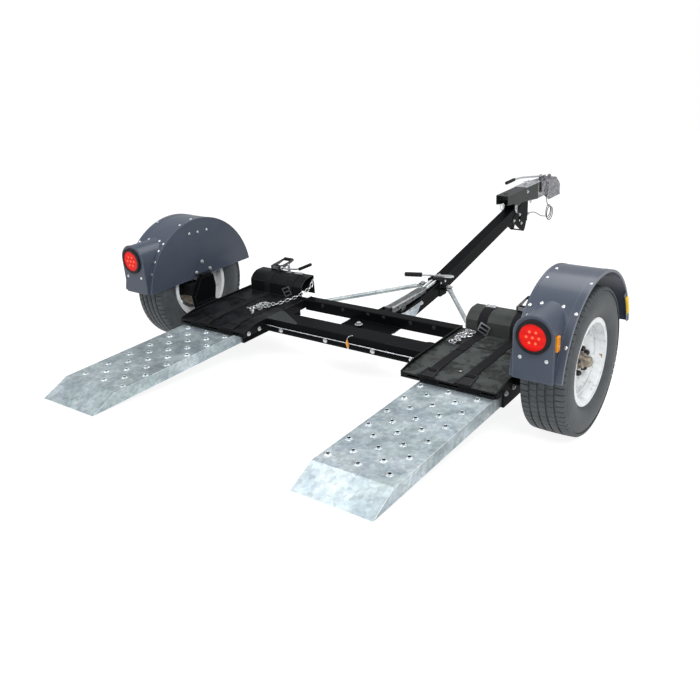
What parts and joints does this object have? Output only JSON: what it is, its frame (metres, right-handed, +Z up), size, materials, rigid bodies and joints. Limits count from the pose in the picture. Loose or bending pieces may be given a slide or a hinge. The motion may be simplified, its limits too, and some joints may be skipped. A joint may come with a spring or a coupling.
{
  "type": "car tow dolly",
  "caption": "Two-wheel car tow dolly with strap-down wheel pans, sliding loading ramps, round fenders, braced tilting tongue and a surge-brake ball coupler.",
  "frame": {"origin": "on the ground, centred in the width and the length of the bounding box", "axes": "+Y forwards to the coupler, +X to the right-hand side, +Z up, ground at z = 0 under tyres and ramp noses"},
  "size_m": [2.602, 3.8642, 0.8945],
  "materials": {
    "frame_paint": "gloss",
    "tyre": "matt",
    "white_steel": "gloss",
    "hub_cast": "satin",
    "fender_paint": "satin",
    "galvanised": "mottled satin",
    "black_rubber": "matt",
    "red_lens": "gloss",
    "amber_lens": "gloss",
    "webbing": "matt",
    "zinc": "bright",
    "cable_sheath": "satin",
    "cast_paint": "gloss"
  },
  "bodies": {
    "bed": {"axle_beam": "frame_paint", "axle_ends": "frame_paint", "brace_lugs": "frame_paint", "brake_calipers": "cast_paint", "centre_plate": "frame_paint", "fender_brackets": "frame_paint", "fender_left": "fender_paint", "fender_right": "fender_paint", "front_cross_tube": "frame_paint", "latch_catch": "frame_paint", "marker_lights": "amber_lens", "pan_cross_tubes": "frame_paint", "pivot_lugs": "frame_paint", "ramp_guides": "frame_paint", "ratchets": "zinc", "tail_light_lenses": "red_lens", "tail_light_rings": "black_rubber", "wheel_pan_left": "frame_paint", "wheel_pan_right": "frame_paint", "wheel_stops": "frame_paint", "wheel_straps": "webbing"},
    "wheel_right": {"tyre_right": "tyre", "rim_right": "white_steel", "hub_right": "hub_cast"},
    "wheel_left": {"tyre_left": "tyre", "rim_left": "white_steel", "hub_left": "hub_cast"},
    "ramp_right": {"ramp_right": "galvanised"},
    "ramp_left": {"ramp_left": "galvanised"},
    "tongue": {"tongue_tube": "frame_paint", "pivot_cheeks": "galvanised", "brace_collar": "frame_paint", "tongue_braces": "galvanised", "latch_channel": "frame_paint", "latch_rods": "zinc", "coupler_case": "frame_paint", "coupler_stand": "frame_paint", "reservoir_lid": "zinc", "line_connector": "zinc", "breakaway_cable": "cable_sheath"},
    "tilt_lever": {"tilt_lever": "zinc"},
    "coupler_slide": {"inner_slide": "zinc", "coupler_head": "cast_paint"},
    "coupler_lever": {"coupler_lever": "zinc"},
    "ratchet_handle_right": {"ratchet_handle_right": "zinc"},
    "ratchet_handle_left": {"ratchet_handle_left": "zinc"}
  },
  "joints": [
    {"name": "wheel_right_spin", "type": "hinge", "parent": "bed", "child": "wheel_right", "pos_m": [1.193, -0.74044, 0.3315], "axis": [1, 0, 0], "continuous": true},
    {"name": "wheel_left_spin", "type": "hinge", "parent": "bed", "child": "wheel_left", "pos_m": [-1.193, -0.74044, 0.3315], "axis": [1, 0, 0], "continuous": true},
    {"name": "ramp_right_slide", "type": "slide", "parent": "bed", "child": "ramp_right", "axis": [0, 0.9933, 0.1156], "range_m": [0, 0.88]},
    {"name": "ramp_left_slide", "type": "slide", "parent": "bed", "child": "ramp_left", "axis": [0, 0.9933, 0.1156], "range_m": [0, 0.88]},
    {"name": "tongue_tilt", "type": "hinge", "parent": "bed", "child": "tongue", "pos_m": [0, -0.40844, 0.2297], "axis": [1, 0, 0], "range_deg": [-8, 0]},
    {"name": "tilt_lever_turn", "type": "hinge", "parent": "tongue", "child": "tilt_lever", "pos_m": [0, 0.16445, 0.38498], "axis": [0, -0.1156, 0.9933], "range_deg": [-35, 0]},
    {"name": "coupler_surge", "type": "slide", "parent": "tongue", "child": "coupler_slide", "axis": [0, 0.9933, 0.1156], "range_m": [-0.04, 0]},
    {"name": "coupler_lever_lift", "type": "hinge", "parent": "coupler_slide", "child": "coupler_lever", "pos_m": [0, 1.64292, 0.87319], "axis": [-1, 0, 0], "range_deg": [0, 45]},
    {"name": "ratchet_handle_right_lift", "type": "hinge", "parent": "bed", "child": "ratchet_handle_right", "pos_m": [0.807, -0.39533, 0.41979], "axis": [1, 0, 0], "range_deg": [0, 100]},
    {"name": "ratchet_handle_left_lift", "type": "hinge", "parent": "bed", "child": "ratchet_handle_left", "pos_m": [-0.807, -0.39533, 0.41979], "axis": [1, 0, 0], "range_deg": [0, 100]}
  ]
}
